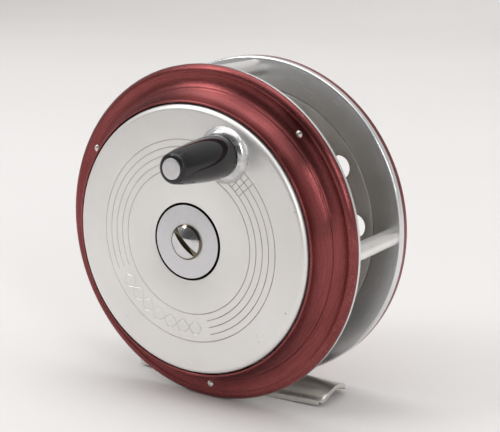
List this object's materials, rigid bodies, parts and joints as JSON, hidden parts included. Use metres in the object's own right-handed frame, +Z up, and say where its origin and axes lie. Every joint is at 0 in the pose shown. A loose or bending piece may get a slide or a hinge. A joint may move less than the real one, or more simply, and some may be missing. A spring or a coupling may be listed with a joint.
{
  "type": "geared fly fishing reel",
  "caption": "Geared fly fishing reel: red stepped cover ring, silver crank disc with black knob, open spool between pillared plates, arched foot.",
  "frame": {"origin": "on the ground, under the middle of the reel's box; the reel stands on its foot and the rims of its side plates", "axes": "+Z up; the spin axis runs along Y at the plates' radius above the ground, with the crank facing -Y; the rod lies along X under the foot"},
  "size_m": [0.092, 0.0604, 0.092],
  "materials": {
    "red_metal": "satin anodised",
    "satin_disc": "fine satin",
    "polished_plate": "polished",
    "spool_metal": "satin, a little tarnished",
    "pillar_metal": "polished",
    "rivet_metal": "polished",
    "foot_metal": "worn nickel plate",
    "inset_metal": "matte",
    "chrome": "chrome plate with light pitting",
    "pin_metal": "brushed",
    "black_knob": "gloss",
    "steel": "plain",
    "brass": "machined"
  },
  "bodies": {
    "reel_frame": {"front_plate": "polished_plate", "front_cover": "red_metal", "cover_rivets": "rivet_metal", "pillar_right": "pillar_metal", "pillar_top": "pillar_metal", "pillar_left": "pillar_metal", "back_plate": "polished_plate", "back_cover": "red_metal", "back_cover_rivets": "rivet_metal", "foot": "foot_metal", "foot_bridge": "foot_metal", "foot_rivets": "rivet_metal", "spindle": "steel", "spindle_nut": "chrome", "hub_washer": "inset_metal", "hub_screw": "chrome", "idler_studs": "steel", "pawl_stud": "steel", "check_spring": "steel", "spring_posts": "steel"},
    "crank": {"crank_disc": "satin_disc", "ring_gear": "brass", "crank_bush": "brass", "handle_collar": "chrome", "handle_pin": "pin_metal"},
    "knob": {"handle_knob": "black_knob"},
    "idler_1": {"idler_gear_1": "brass"},
    "idler_2": {"idler_gear_2": "brass"},
    "idler_3": {"idler_gear_3": "brass"},
    "spool": {"spool_pinion": "brass", "spool_front_flange": "spool_metal", "spool_arbor": "spool_metal", "spool_rear_flange": "spool_metal", "spool_bush": "brass", "ratchet_wheel": "steel"},
    "click_pawl": {"pawl": "steel"}
  },
  "joints": [
    {"name": "crank_spin", "type": "hinge", "parent": "reel_frame", "child": "crank", "pos_m": [0, 0, 0.046], "axis": [0, 1, 0], "continuous": true},
    {"name": "idler_1_spin", "type": "hinge", "parent": "reel_frame", "child": "idler_1", "pos_m": [0, 0, 0.067], "axis": [0, 1, 0], "continuous": true},
    {"name": "idler_2_spin", "type": "hinge", "parent": "reel_frame", "child": "idler_2", "pos_m": [-0.01819, 0, 0.0355], "axis": [0, 1, 0], "continuous": true},
    {"name": "idler_3_spin", "type": "hinge", "parent": "reel_frame", "child": "idler_3", "pos_m": [0.01819, 0, 0.0355], "axis": [0, 1, 0], "continuous": true},
    {"name": "spool_spin", "type": "hinge", "parent": "reel_frame", "child": "spool", "pos_m": [0, 0, 0.046], "axis": [0, 1, 0], "continuous": true},
    {"name": "knob_spin", "type": "hinge", "parent": "crank", "child": "knob", "pos_m": [0.01195, 0, 0.07049], "axis": [0, 1, 0], "continuous": true},
    {"name": "pawl_rock", "type": "hinge", "parent": "reel_frame", "child": "click_pawl", "pos_m": [0.0066, 0, 0.05743], "axis": [0, 1, 0], "range_deg": [-25, 25], "stiffness_Nm_per_rad": 0.002}
  ],
  "couplings": [
    {"joint": "idler_1_spin", "follows": "crank_spin", "ratio": 3.3333},
    {"joint": "idler_2_spin", "follows": "crank_spin", "ratio": 3.3333},
    {"joint": "idler_3_spin", "follows": "crank_spin", "ratio": 3.3333},
    {"joint": "spool_spin", "follows": "crank_spin", "ratio": -2.5}
  ]
}
